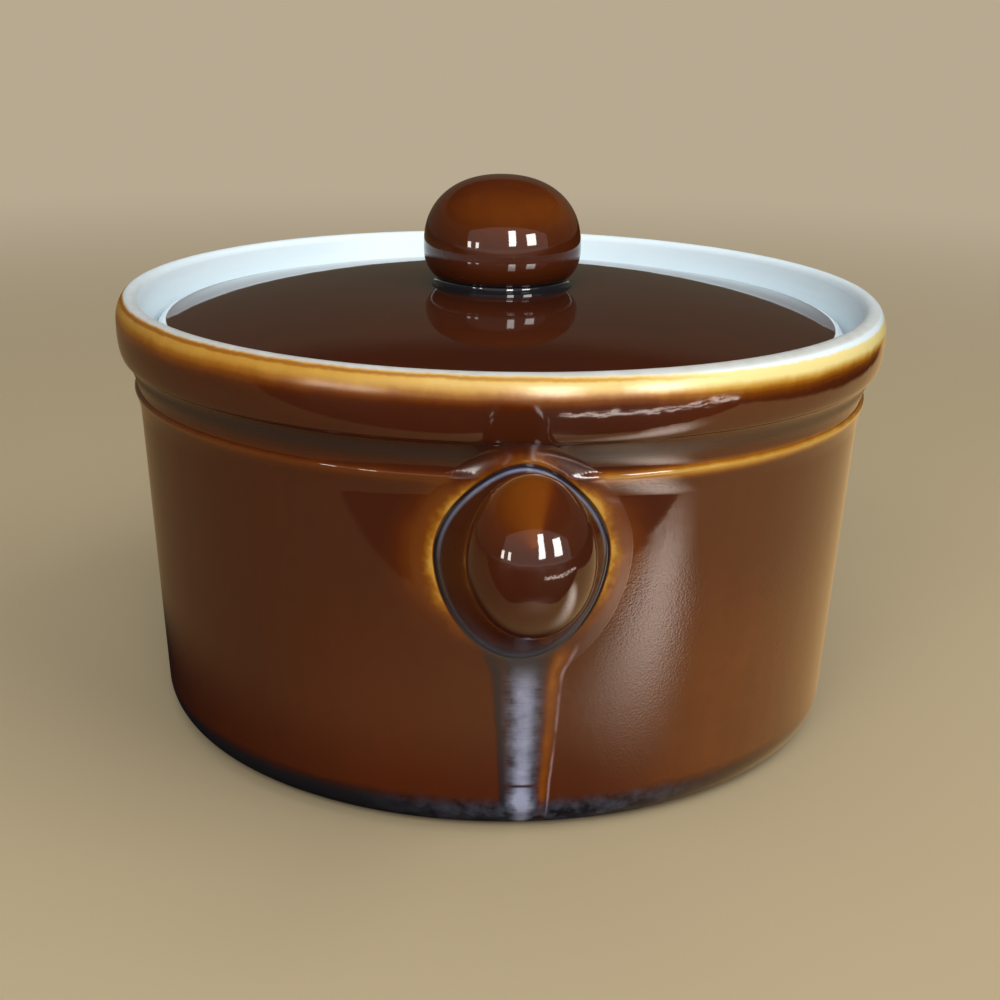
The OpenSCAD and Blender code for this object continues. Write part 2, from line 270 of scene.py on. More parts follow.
class HandleSizes(bpy.types.PropertyGroup):
    """Sizes of the stick handle."""

    reach: length("Reach", "Length of the handle from the wall to its tip, measured level", 48 * MM)
    rise: angle("Rise", "Angle that the handle rises at", 22)
    drop: length("Drop", "Depth of the handle's axis at the wall below the crown", 39 * MM)
    root_w: length("Root width", "Width of the handle where it leaves its pad", 33.5 * MM)
    root_h: length("Root height", "Height of the handle where it leaves its pad", 41 * MM)
    neck_w: length("Neck width", "Width of the handle's neck", 20.4 * MM)
    neck_to_bulb: length("Neck to bulb", "Distance from the neck out to the bulb", 17 * MM)
    bulb_w: length("Bulb width", "Width of the handle's bulb", 22.8 * MM)
    grip_ratio: share("Grip ratio", "Height of the handle over its width at the neck and the bulb", 1.26)
    tip_len: length("Tip length", "Length of the rounded end", 11 * MM)
    bead_at: length("Bead place", "Distance from the root's outline to the bead's crest", 1.3 * MM)
    bead_w: length("Bead width", "Width of the bead's outer slope, down to where it dies out", 5 * MM)
    bead_h: length("Bead height", "Height of the bead above the wall", 0.45 * MM)
    crease_h: length("Crease height", "Height above the wall of the crease inside the bead", 0.15 * MM)
    sink: length("Bead sink", "How far the bead's outer edge goes into the wall", 0.05 * MM)
    root_in: length("Root end", "How far the handle's hidden end goes into the wall", 3.2 * MM)
    root_aside: length("Root aside", "How far the root sits right of the handle's line", 0.9 * MM)
    tip_tilt: angle("Tip tilt", "Angle that the rounded end looks up", 15)
    root_egg: share("Root egg", "How much narrower the root is at its top than at its bottom", -0.1)
    bulb_egg: share("Bulb egg", "How much narrower the bulb is at its top than at its bottom", 0.03)
    root_peak: share("Root peak", "How far the root's top is drawn in to a peak", 0.31)

    bulb_at = property(lambda self: self.reach - self.tip_len)
    neck_at = property(lambda self: self.bulb_at - self.neck_to_bulb)

    def axis_z(self, dish):
        """Height of the handle's axis at the wall."""
        return dish.height - self.drop

    def root_low_z(self, dish):
        """Height of the lowest point of the root's outline."""
        return self.axis_z(dish) - self.root_h / 2

    def half(self, out, root, neck, bulb):
        """Half the handle's size at a distance out from the wall, given its sizes at root, neck and bulb."""
        if out <= self.neck_at:
            left = 1 - (out - self.crease_h) / (self.neck_at - self.crease_h)
            size = neck + (root - neck) * left ** FLARE_POWER
        elif out <= self.bulb_at:
            size = neck + (bulb - neck) * ease((out - self.neck_at) / self.neck_to_bulb)
        else:
            size = bulb * math.sqrt(max(0, 1 - ((out - self.bulb_at) / self.tip_len) ** 2))
        return size / 2


class GlazeColours(bpy.types.PropertyGroup):
    """Colours of the brown glaze from thin to thick, and of the white glaze."""

    cream: colour("Bare edge", "Where the brown has run off and the white shows through", 0.80, 0.67, 0.28)
    pale_amber: colour("Pale amber", "Brown glaze at its thinnest", 0.55, 0.32, 0.055)
    amber: colour("Amber", "Brown glaze on raised edges", 0.30, 0.115, 0.008)
    honey: colour("Honey", "Brown glaze a little thinner than on the wall", 0.16, 0.042, 0.003)
    brown: colour("Brown", "Brown glaze on the wall", 0.072, 0.0145, 0.0028)
    dark: colour("Dark brown", "Brown glaze in hollows", 0.032, 0.0085, 0.0045)
    pooled: colour("Pooled glaze", "Brown glaze where it pools", 0.010, 0.0095, 0.0115)
    # This colour also paints sheen: highlights by the crease, on the run's edge, at the base and foot, and
    # the run's glare
    bloom_and_sheen: colour("Bloom", "Blue-grey bloom on thick runs of glaze", 0.28, 0.30, 0.43)
    white: colour("White", "White glaze", 0.71, 0.82, 0.87)
    # Greyer cream used only on the front of the crown's top: partly thin white glaze, partly painted shade
    white_thin_and_shade: colour("White edge", "White glaze where it thins over the crown", 0.38, 0.36, 0.31)
    # Partly pooled white glaze, partly painted shade in corners
    white_pool_and_shade: colour("White pool", "White glaze where it pools in a corner", 0.50, 0.58, 0.62)


class StageSettings(bpy.types.PropertyGroup):
    """Camera, floor and light."""

    lens_mm: share("Lens", "Focal length of the camera in millimetres on a 36 mm sensor", 58.32)
    distance: length("Camera distance", "Level distance from the dish's axis to the camera", 383 * MM)
    camera_z: length("Camera height", "Height of the camera above the table", 172.4 * MM)
    aside: length("Camera aside", "How far the camera stands to the right of the axis", -0.25 * MM)
    turn: angle("Camera turn", "Angle that the camera stands left of the handle", 2.8)
    pitch: angle("Camera pitch", "Angle that the camera looks down", 18.07)
    yaw: angle("Camera yaw", "Angle that the camera looks to the right of the axis", 0.13)
    roll: angle("Camera roll", "Angle that the camera leans to the left", 1.11)
    floor: colour("Floor", "Colour of the plain floor", 0.42, 0.335, 0.205)
    backdrop: colour("Backdrop", "Colour of the plain background", 0.48, 0.40, 0.285)
    ambient: colour("Ambient", "Light from all round", 0.16, 0.165, 0.17)
    wall: colour("Wall", "Low light round the dish that shows in its gloss", 0.10, 0.095, 0.07)
    gloom: colour("Gloom", "Darkness overhead and in front that shows in the gloss", 0.012, 0.010, 0.009)
    shelf: colour("Shelf", "Colour of the floor in the gloss", 0.33, 0.215, 0.095)
    shelf_edge: length("Shelf edge", "How far in front of the axis the floor ends in the gloss", 176 * MM)
    shelf_side: length("Shelf side", "How far right of the axis the floor ends in the gloss", 300 * MM)
    glare: colour("Glare", "Glare on the floor that shows in the gloss", 1.0, 0.86, 0.76)
    glare_strength: share("Glare strength", "How bright that glare is", 9)
    glare_x: length("Glare aside", "How far right of the axis that glare lies", 108 * MM)
    glare_front: length("Glare front", "How far in front of the axis that glare lies", 145 * MM)


def ease(part):
    """Smooth step from 0 to 1."""
    part = min(1, max(0, part))
    return part * part * (3 - 2 * part)


def softened(gap):
    """A gap where it is above 0, and nothing below, with a rounded bend between."""
    return (gap + math.hypot(gap, PAD_BLEND)) / 2


def run_share(z):
    """Width of the glaze run at height z, as a share of its full width."""
    return RUN_FOOT_SHARE + z / RUN_SPREAD


# Outlines, as lists of radius and height

def arc(r, z, wide, high, start, end, steps=ARC_STEPS):
    """Points of an arc about (r, z) between two angles in degrees."""
    turns = [math.radians(start + (end - start) * i / steps) for i in range(steps + 1)]
    return [(r + wide * math.cos(t), z + high * math.sin(t)) for t in turns]


def sweep(low, high, power):
    """A hollow sweep that leaves the lower point nearly upright and leans out to the higher one."""
    parts = [i / ARC_STEPS for i in range(ARC_STEPS + 1)]
    return [(low[0] + (high[0] - low[0]) * p ** power, low[1] + (high[1] - low[1]) * p) for p in parts]


def straight(low, high):
    """Evenly spaced points strictly between two points."""
    steps = range(1, CURVE_STEPS)
    return [tuple(a + (b - a) * i / CURVE_STEPS for a, b in zip(low, high)) for i in steps]


def dish_outside(dish):
    """Outside of the dish, from the middle of its base up to the edge of the white glaze."""
    stand_r = dish.base_r - dish.base_round
    foot_in_r = stand_r - dish.foot_w
    base = arc(stand_r, dish.base_round, dish.base_round, dish.base_round, -90, 0)
    wall_top = (dish.wall_top_r, dish.wall_top_z)
    bend = dish.ridge_round
    crest = arc(dish.ridge_r - bend, dish.ridge_z, bend, bend, -45, 70, CREST_STEPS)
    half_band = dish.band_h / 2
    white_at = math.degrees(dish.white_line)
    return (
        [(0, dish.foot_hollow), (foot_in_r - dish.foot_hollow, dish.foot_hollow), (foot_in_r, 0)]
        + base
        + straight(base[-1], wall_top)
        + sweep(wall_top, crest[0], SWEEP_POWER)
        + crest[1:]
        + sweep(crest[-1], (dish.band_low_r, dish.band_z), COVE_POWER)[1:]
        + arc(dish.band_low_r, dish.band_z + half_band, dish.band_draw, half_band, -75, 0)
        + arc(dish.shoulder_r, dish.crown_z, dish.crown_round, dish.crown_h, 0, white_at)
    )


def dish_inside(dish, lid, back):
    """Inside of the dish, from the middle of its floor to the edge of the white glaze, set back by back."""
    floor = dish.floor_round + back
    edge = dish.ledge_edge - back
    corner = dish.ledge_corner + back
    bend = dish.crown_inner_round
    inner = bend - back
    ledge_in_r = dish.gallery_r - dish.ledge_w
    white_at = math.degrees(dish.white_line)
    return (
        [(0, dish.floor_t - back)]
        + arc(dish.inner_base_r - dish.floor_round, dish.floor_t + dish.floor_round, floor, floor, -90, 0)
        + arc(ledge_in_r + dish.ledge_edge, lid.seat_z - dish.ledge_edge, edge, edge, 180, 90)
        + arc(dish.gallery_r - dish.ledge_corner, lid.seat_z + dish.ledge_corner, corner, corner, -90, 0)
        + arc(dish.crown_in_r + bend, dish.height - bend, inner, inner, 180, 90)
        + arc(dish.shoulder_r, dish.crown_z, dish.crown_round - back, dish.crown_h - back, 90, white_at)
    )


def radius_at(outline, z):
    """Radius of an outline at height z, on its first stretch that passes that height going up."""
    for (low_r, low_z), (high_r, high_z) in zip(outline, outline[1:]):
        if low_z <= z < high_z:
            return low_r + (high_r - low_r) * (z - low_z) / (high_z - low_z)
    raise ValueError(f"The outline doesn't reach the height {z}")


def dome_line(lid, end_r, down):
    """The dome from its middle out to a radius, moved down."""
    start_r = lid.knob_foot_r
    radii = [start_r + (end_r - start_r) * i / CURVE_STEPS for i in range(CURVE_STEPS)]
    return [(0, lid.top_z - down)] + [(r, lid.dome_z(r) - down) for r in radii]


def lid_top(lid):
    """Top of the lid, from its middle out over its edge to the white glaze."""
    bend = lid.edge_round
    edge = arc(lid.top_r, lid.edge_z - bend, bend, bend, 90, math.degrees(lid.glaze_line))
    return dome_line(lid, lid.top_r, 0) + edge


def lid_under(lid, back):
    """Underside and edge of the lid, from its middle to the edge of the white glaze, set back by back."""
    foot = lid.foot_round - back
    edge = lid.edge_round - back
    return (
        dome_line(lid, lid.under_r, lid.thickness - back)
        + [(lid.under_r, lid.seat_z + back)]
        + arc(lid.radius - lid.foot_round, lid.seat_z + lid.foot_round, foot, foot, -90, 0)
        + arc(lid.top_r, lid.edge_z - lid.edge_round, edge, edge, 0, math.degrees(lid.glaze_line))
    )


def knob_outline(lid):
    """Outline of the knob from the middle of its foot, up over the ball, to the middle of its top."""
    full_z = lid.top_z + lid.knob_full_h
    crest_h = lid.knob_h - lid.knob_full_h
    power = 2 / lid.knob_fullness
    turns = [math.pi / 2 * i / CURVE_STEPS for i in range(1, CURVE_STEPS)]
    low = 2 / lid.knob_low_fullness
    low_turn = math.acos((lid.waist_r / lid.knob_r) ** (1 / low))
    ball_h = (lid.knob_full_h - lid.waist_h) / math.sin(low_turn) ** low
    low_turns = [low_turn * (1 - i / CURVE_STEPS) for i in range(1, CURVE_STEPS + 1)]
    flare_h = lid.waist_h - lid.foot_edge_h
    return (
        [(0, lid.top_z), (lid.knob_foot_r, lid.top_z)]
        + arc(lid.knob_foot_r, lid.top_z + lid.waist_h, lid.foot_flare, flare_h, 270, 180)
        + [(lid.knob_r * math.cos(t) ** low, full_z - ball_h * math.sin(t) ** low) for t in low_turns]
        + [(lid.knob_r * math.cos(t) ** power, full_z + crest_h * math.sin(t) ** power) for t in turns]
        + [(0, full_z + crest_h)]
    )


# Meshes

def spun(outline, steps=SPIN_STEPS):
    """A closed outline of radius and height, spun round Z."""
    bm = bmesh.new()
    points = [bm.verts.new((r, 0, z)) for r, z in outline]
    lines = [bm.edges.new(pair) for pair in zip(points, points[1:])]
    bmesh.ops.spin(
        bm, geom=points + lines, cent=(0, 0, 0), axis=(0, 0, 1), dvec=(0, 0, 0),
        angle=math.tau, steps=steps, use_merge=True,
    )
    bmesh.ops.remove_doubles(bm, verts=bm.verts, dist=MERGE_DISTANCE)
    bmesh.ops.recalc_face_normals(bm, faces=bm.faces)
    return bm


def add_piece(name, bm, body, node, material):
    """Makes an object of a mesh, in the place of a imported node."""
    mesh = bpy.data.meshes.new(name)
    bm.to_mesh(mesh)
    bm.free()
    mesh.shade_smooth()
    mesh.set_sharp_from_angle(angle=math.radians(SHARP_DEGREES))
    mesh.materials.append(material)
    piece = bpy.data.objects.new(name, mesh)
    bpy.context.scene.collection.objects.link(piece)
    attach(piece, body)
    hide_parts(node)


# Shaders

class Tone:
    """A value that changes over a surface: a socket whose sums add Math nodes."""

    def __init__(self, paint, socket):
        self.paint = paint
        self.socket = socket

    def __add__(self, other):
        return self.paint.maths("ADD", self, other)

    __radd__ = __add__

    def __sub__(self, other):
        return self.paint.maths("SUBTRACT", self, other)

    def __rsub__(self, other):
        return self.paint.maths("SUBTRACT", other, self)

    def __mul__(self, other):
        return self.paint.maths("MULTIPLY", self, other)

    def __truediv__(self, other):
        return self.paint.maths("DIVIDE", self, other)

    def __pow__(self, other):
        return self.paint.maths("POWER", self, other)


class Paint:
    """The node tree of a material or the world, to which nodes are added one by one."""

    def __init__(self, owner):
        owner.use_nodes = True
        self.owner = owner
        self.tree = owner.node_tree
        self.tree.nodes.clear()

    def node(self, kind, settings=None, inputs=None, output=0):
        """Adds a node with its settings, values and links, and returns one output or several."""
        made = self.tree.nodes.new(kind)
        for name, value in (settings or {}).items():
            setattr(made, name, value)
        for key, value in (inputs or {}).items():
            if isinstance(value, Tone):
                self.tree.links.new(value.socket, made.inputs[key])
            else:
                made.inputs[key].default_value = value
        if isinstance(output, tuple):
            return [Tone(self, made.outputs[key]) for key in output]
        return Tone(self, made.outputs[output]) if made.outputs else None

    def maths(self, operation, first, second=0.0):
        """A Math node on one or two values."""
        return self.node("ShaderNodeMath", {"operation": operation}, {0: first, 1: second})

    def step(self, value, low, high):
        """0 before low, 1 after high, smooth between."""
        return self.node(
            "ShaderNodeMapRange", {"interpolation_type": "SMOOTHSTEP"},
            {"Value": value, "From Min": low, "From Max": high},
        )

    def band(self, value, middle, half):
        """1 in the middle of a band, down to 0 at its two sides."""
        return self.step(self.maths("ABSOLUTE", value - middle), half, 0)

    def mix(self, part, first, second):
        """One colour into another."""
        first, second = (tint if isinstance(tint, Tone) else (*tint, 1) for tint in (first, second))
        return self.node("ShaderNodeMix", {"data_type": "RGBA"}, {0: part, 6: first, 7: second}, 2)

    def ray_kinds(self):
        """Whether the camera sees the surface, and whether a gloss shows it."""
        return self.node("ShaderNodeLightPath", output=("Is Camera Ray", "Is Glossy Ray"))


class Surface(Paint):
    """A new material, with the place on its piece: position, x, y, z and distance from the axis."""

    def __init__(self, name):
        super().__init__(bpy.data.materials.new(name))
        self.spot = self.node("ShaderNodeTexCoord", output="Object")
        self.x, self.y, self.z = self.node("ShaderNodeSeparateXYZ", {}, {0: self.spot}, ("X", "Y", "Z"))
        self.radius = (self.x * self.x + self.y * self.y) ** 0.5

    def cloud(self, size, detail=2.0, stretch=(1, 1, 1)):
        """Soft random clouds of about a given size, from -1 to 1, drawn out by stretch."""
        scale = tuple(1 / (size * s) for s in stretch)
        vector = self.node("ShaderNodeMapping", {}, {"Vector": self.spot, "Scale": scale})
        made = self.node("ShaderNodeTexNoise", {}, {"Vector": vector, "Scale": 1.0, "Detail": detail})
        return made * 2 - 1

    def brown(self, tints, depth):
        """Colour of the brown glaze at a depth from 0, bare, to 1, pooled."""
        stops = [
            (0.0, tints.cream), (0.15, tints.pale_amber), (0.30, tints.amber), (0.45, tints.honey),
            (0.62, tints.brown), (0.80, tints.dark), (1.0, tints.pooled),
        ]
        tone = self.node("ShaderNodeValToRGB", {}, {0: depth})
        elements = tone.socket.node.color_ramp.elements
        while len(elements) < len(stops):
            elements.new(1)
        for element, (place, tint) in zip(elements, stops):
            element.position = place
            element.color = (*tint, 1)
        return tone

    def gloss(self, tint, roughness, height, distance):
        """The glassy surface of a glaze, with a bump from a height between about -1 and 1."""
        bump = {"Height": height, "Distance": distance, "Strength": 1.0}
        normal = self.node("ShaderNodeBump", {}, bump, "Normal")
        surface = self.node(
            "ShaderNodeBsdfPrincipled", {},
            {"Base Color": tint, "Roughness": roughness, "Normal": normal, "IOR": GLAZE_IOR},
        )
        return self.finish(surface)

    def finish(self, surface):
        """Ends the tree with its surface, and returns the material."""
        self.node("ShaderNodeOutputMaterial", {}, {"Surface": surface})
        return self.owner


def crown_glaze(paint, dish):
    """On the crown's outer shoulder, the share of white and how far the brown glaze thins towards it, partly
    a painted highlight.
    """
    x, z = paint.x, paint.z
    up = (z - dish.crown_z) / dish.crown_h
    out = (paint.radius - dish.shoulder_r) / dish.crown_round
    turn = paint.maths("ARCTAN2", up, out) + paint.cloud(9 * MM) * 0.08 + paint.cloud(1.5 * MM) * 0.06
    right = paint.step(x, -5 * MM, 75 * MM)
    past = turn - (dish.glaze_line - right * dish.glaze_slip)
    white = paint.step(past, -0.07, 0.10)
    wander = paint.cloud(16 * MM) * 0.8 * MM + paint.cloud(2.5 * MM) * 0.35 * MM
    wander = wander + paint.step(x, 10 * MM, 80 * MM) * 0.9 * MM
    # Amber where the brown thins: partly thin glaze, partly a painted highlight on the shoulder, stronger on
    # the right
    thin = paint.step(z + wander, dish.height - 7.8 * MM, dish.height - 1.7 * MM)
    roll = paint.band(past, -0.18, 0.18) * (1 - right)
    return white, thin * (0.50 + paint.step(x, -75 * MM, 70 * MM) * 0.22) - roll * 0.14


def root_away(paint, dish, handle):
    """How far outside the handle's root a point of the wall lies, where 1 is on the root's outline."""
    rise = (paint.z - handle.axis_z(dish)) / (handle.root_h / 2)
    top = paint.maths("MINIMUM", paint.maths("MAXIMUM", rise, 0.0), 1.0)
    wide = (1 - rise * handle.root_egg) * (1 - top ** PEAK_POWER * handle.root_peak) * (handle.root_w / 2)
    across = (paint.x - handle.root_aside) / wide
    return (across * across + rise * rise) ** 0.5


def root_depth(paint, dish, handle, away):
    """How far the glaze thins on the slip round the handle's root: most at its edge, less further out."""
    axis_z = handle.axis_z(dish)
    above = paint.step(paint.z, axis_z - 20 * MM, axis_z - 4 * MM)
    rough = paint.cloud(6 * MM) * 0.16 + paint.cloud(1.2 * MM) * 0.05
    close = paint.step(away + rough, 1.24, 1.0)
    wide = paint.step(away + paint.cloud(15 * MM) * 0.14, 1.75, 1.05)
    wide = wide * paint.step(paint.z, dish.ridge_z + 1 * MM, dish.ridge_z - 3 * MM)
    return close * (0.03 + above * 0.30) + wide * (0.03 + above * 0.20)


def wall_glaze(paint, scene):
    """Outside of the dish: depth of the brown glaze, its bloom and painted sheen, and shares of the run,
    foot and cove.

    Edges are thin and amber, with a painted highlight on the ridge's right, and the wall's right is painted
    lighter.
    The cove and the foot are darker, partly pooled glaze and partly painted shade. A run comes down below
    the handle, partly thick glaze and partly painted reflection of glare, with painted highlights.
    """
    dish, handle = scene.dish_sizes, scene.handle_sizes
    x, z = paint.x, paint.z
    clouds = paint.cloud(38 * MM)
    mottle = paint.cloud(4.5 * MM, 3.0)
    pour = paint.cloud(4 * MM, 2.0, (1, 1, 9))
    front = paint.step(paint.y, -60 * MM, -70 * MM)
    away = root_away(paint, dish, handle)
    clear = 1 - front * paint.step(away, 1.45, 1.15)

    crest = clear * paint.band(z + mottle * 0.25 * MM, dish.ridge_z - 0.2 * MM, 2.3 * MM)
    # Darker cove: partly pooled glaze, partly painted shade
    cove = clear * paint.band(z, dish.band_z - 2.6 * MM, 3.6 * MM)
    # Darker foot: partly thick glaze rolled over it, partly painted shade
    foot = paint.step(z + mottle * 0.7 * MM + clouds * 0.8 * MM, 9.5 * MM, 5.5 * MM)
    depth = WALL_DEPTH + clouds * 0.035 + mottle * 0.02 + pour * 0.016
    # Painted light: the wall's right is lighter, as if lit from the right
    depth = depth - paint.step(x, 14 * MM, 42 * MM) * 0.085
    depth = depth - paint.step(z, 66 * MM, 30 * MM) * paint.step(x, -70 * MM, -20 * MM) * 0.07
    # Thin amber glaze on the ridge's crest, with a painted highlight that grows much stronger to the right
    depth = depth - crest * (0.17 + paint.step(x, -5 * MM, 22 * MM) * 0.30) + cove * 0.17 + foot * 0.36
    depth = depth - front * root_depth(paint, dish, handle, away)

    # The run below the handle: partly a real run of thick glaze, partly painted reflection of glare, with
    # painted lines
    low = handle.root_low_z(dish)
    below = front * paint.step(z, low + 3.5 * MM, low - 1 * MM)
    narrow = run_share(z) + paint.step(z, low - 5 * MM, low + 3 * MM) * 0.35
    sway = paint.cloud(18 * MM) * 0.6 * MM + paint.cloud(3 * MM) * 0.2 * MM
    across = (x - dish.run_x + sway) / narrow / (dish.run_w / 2)
    inner = paint.maths("ABSOLUTE", across + 0.09)
    core = below * paint.step(inner, 0.80, 0.30)
    left_edge = below * paint.band(across, -0.86, 0.24)
    right_edge = below * paint.band(across, 0.74, 0.34) * (1 + mottle * 0.6)
    broken = paint.step(paint.cloud(6 * MM), -0.5, 0.3)
    # Painted highlight: a broken pale line along the run's right edge
    rim = below * paint.band(across, 1.0, 0.08) * broken
    tear = core * paint.band(z + mottle * 0.4 * MM, 11.8 * MM, 0.7 * MM)
    depth = depth + core * 0.36 + left_edge * 0.30 - right_edge * 0.20 - rim * 0.22 - tear * 0.20

    blots = paint.cloud(3 * MM, 3.0)
    ribs = paint.cloud(0.45 * MM, 2.0, (8, 8, 1))
    settled = paint.step(z, low - 0.5 * MM, low - 8 * MM)
    # Painted reflection of glare: the run's bloom is brightest down its middle
    bright = 0.20 + paint.step(inner, 0.46, 0.06) * 0.55 + blots * 0.40 + ribs * 0.15
    # Painted highlight near the base of the run
    base_sheen = paint.band(z, 7.4 * MM, 3.4 * MM) * (0.42 + blots * 0.5 + ribs * 0.2)
    bloom_and_sheen = core * (settled * bright * (1 - tear) + (1 - settled) * 0.03 + base_sheen)
    bloom_and_sheen = bloom_and_sheen + left_edge * 0.02 + rim * 0.30
    # Painted highlight on the front of the foot
    foot_sheen = front * foot * paint.band(x, 10 * MM, 48 * MM) * (0.09 + blots * 0.3)
    return depth, paint.maths("MAXIMUM", bloom_and_sheen, foot_sheen), core, foot, cove


def dish_glaze(scene):
    """Brown glaze on the dish, which gives way to white on the crown."""
    dish, tints = scene.dish_sizes, scene.glaze_colours
    paint = Surface("dish_brown_glaze")
    x, z = paint.x, paint.z
    depth, bloom_and_sheen, core, foot, cove = wall_glaze(paint, scene)
    white, thinned = crown_glaze(paint, dish)
    tint = paint.brown(tints, depth - thinned)
    # Bloom of the run, with its painted sheen and painted reflection of glare
    tint = paint.mix(bloom_and_sheen, tint, tints.bloom_and_sheen)
    tint = paint.mix(white, tint, tints.white)
    grainy = paint.step(x, 10 * MM, 26 * MM) * paint.step(z, 66 * MM, 50 * MM)
    grain = paint.cloud(0.5 * MM) * (0.08 + grainy * 1.5 + core * 0.75)
    lumpy = paint.step(z, dish.band_z, dish.band_z + 2 * MM) * paint.step(x, 4 * MM, 16 * MM)
    waves = paint.cloud(4 * MM, 1.0) * (0.55 + lumpy * 1.1)
    crown = paint.step(z, dish.crown_z - 1 * MM, dish.crown_z + 1.5 * MM)
    roughness = WALL_ROUGHNESS + core * 0.11 + foot * 0.06 + crown * 0.20 + cove * 0.35
    return paint.gloss(tint, roughness, waves + grain, 0.016 * MM)


def white_relief(paint):
    """Fine rings that the throwing left in the white glaze, and the height of its surface."""
    rings = paint.cloud(1.6 * MM, 1.0, (40, 40, 1))
    return rings, rings + paint.cloud(6 * MM, 1.0)


def lining_glaze(scene):
    """White glaze inside the dish: darker in corners and low down, partly pooled and partly painted shade,
    greyer with painted shade on the front of the crown's top, and amber at the crown's outer edge.
    """
    dish, lid, tints = scene.dish_sizes, scene.lid_sizes, scene.glaze_colours
    paint = Surface("dish_white_glaze")
    mottle = paint.cloud(4 * MM)
    rings, height = white_relief(paint)
    # Darker in the ledge's corner and low inside: partly pooled white glaze, partly painted shade
    corner = paint.band(paint.z, lid.seat_z + 0.8 * MM, 3.2 * MM)
    low = paint.step(paint.z, dish.floor_t + 14 * MM, dish.floor_t)
    pool_and_shade = corner * 0.7 + low * 0.3 + rings * 0.06 + mottle * 0.05
    tint = paint.mix(pool_and_shade, tints.white, tints.white_pool_and_shade)
    # Greyer cream on the front of the crown's top: partly thin white glaze, partly painted shade
    crown_thin_and_shade = paint.step(paint.z, dish.height - 1.6 * MM, dish.height - 0.3 * MM)
    crown_thin_and_shade = crown_thin_and_shade * paint.step(paint.y, 60 * MM, -70 * MM)
    tint = paint.mix(crown_thin_and_shade * (0.8 + mottle * 0.2), tint, tints.white_thin_and_shade)
    white, thinned = crown_glaze(paint, dish)
    outer = paint.step(paint.radius, dish.shoulder_r - 0.5 * MM, dish.shoulder_r + 0.5 * MM)
    tint = paint.mix((1 - white) * outer, tint, paint.brown(tints, WALL_DEPTH - thinned))
    return paint.gloss(tint, 0.48 + mottle * 0.03, height, 0.025 * MM)


def handle_glaze(scene):
    """Brown glaze on the handle, whose depth the mesh carries, and the wall's on its bead of slip."""
    tints = scene.glaze_colours
    paint = Surface("handle_brown_glaze")
    wall_depth, wall_bloom_and_sheen = wall_glaze(paint, scene)[:2]
    own_depth, pad, crease = (
        paint.node("ShaderNodeAttribute", {"attribute_name": name}, output="Fac")
        for name in (GLAZE_DEPTH, GLAZE_PAD, CREASE_SHEEN)
    )
    mottle = paint.cloud(4.5 * MM, 3.0)
    own_depth = own_depth + mottle * 0.02 + paint.cloud(12 * MM) * 0.04
    tint = paint.brown(tints, own_depth + (wall_depth - own_depth) * pad)
    # The crease's painted highlight and haze, and on the bead the wall's bloom with its painted sheen
    tint = paint.mix(crease * (0.85 + mottle * 0.3) + pad * wall_bloom_and_sheen, tint, tints.bloom_and_sheen)
    height = paint.cloud(5 * MM, 1.0) + paint.cloud(1.4 * MM) * 0.2
    return paint.gloss(tint, WALL_ROUGHNESS + mottle * 0.012 + pad * 0.12, height, 0.014 * MM)


def lid_glaze(scene):
    """Brown glaze on the lid, even and mirror-smooth, pooled round the knob, with white over its edge."""
    lid, tints = scene.lid_sizes, scene.glaze_colours
    paint = Surface("lid_brown_glaze")
    mottle = paint.cloud(3 * MM, 3.0)
    ring = paint.step(paint.radius, lid.knob_foot_r + 2.2 * MM, lid.knob_foot_r)
    edge = paint.step(paint.radius + mottle * 0.15 * MM, lid.top_r + 0.1 * MM, lid.top_r + 0.4 * MM)
    depth = LID_DEPTH + paint.cloud(30 * MM) * 0.03 + mottle * 0.02 + ring * 0.2
    tint = paint.mix(edge, paint.brown(tints, depth), tints.white)
    height = paint.cloud(9 * MM, 1.0) + mottle * 0.10
    return paint.gloss(tint, LID_ROUGHNESS + mottle * 0.012, height, 0.012 * MM)


def lid_lining_glaze(scene):
    """White glaze under the lid and round its edge, darker in the corner under the dome, partly pooled and
    partly painted shade.
    """
    lid, tints = scene.lid_sizes, scene.glaze_colours
    paint = Surface("lid_white_glaze")
    mottle = paint.cloud(4 * MM)
    height = white_relief(paint)[1]
    # Darker in the corner under the dome: partly pooled white glaze, partly painted shade
    pool_and_shade = 0.15 + mottle * 0.1 + paint.band(paint.radius, lid.under_r, 5 * MM) * 0.5
    tint = paint.mix(pool_and_shade, tints.white, tints.white_pool_and_shade)
    return paint.gloss(tint, 0.09 + mottle * 0.02, height, 0.02 * MM)


def knob_glaze(scene):
    """Brown glaze on the knob: thinner over its top, painted shade on its left, black in the groove below.
    """
    lid, tints = scene.lid_sizes, scene.glaze_colours
    paint = Surface("knob_brown_glaze")
    up = paint.z - lid.top_z
    clouds = paint.cloud(13 * MM)
    mottle = paint.cloud(3 * MM, 3.0)
    over = paint.step(up + clouds * 2 * MM, 9 * MM, 19 * MM)
    crest = paint.step(up, 19 * MM, 25 * MM)
    groove = paint.step(up, 2.8 * MM, 1.7 * MM)
    # Painted shade on the knob's left
    left = paint.step(paint.x, -6 * MM, -17 * MM)
    depth = KNOB_DEPTH + clouds * 0.04 + mottle * 0.02
    depth = depth - over * 0.10 + crest * 0.06 + groove * 0.40 + left * 0.06
    height = paint.cloud(7 * MM, 1.0) + mottle * 0.15
    return paint.gloss(paint.brown(tints, depth), LID_ROUGHNESS + mottle * 0.012, height, 0.014 * MM)


# Pieces

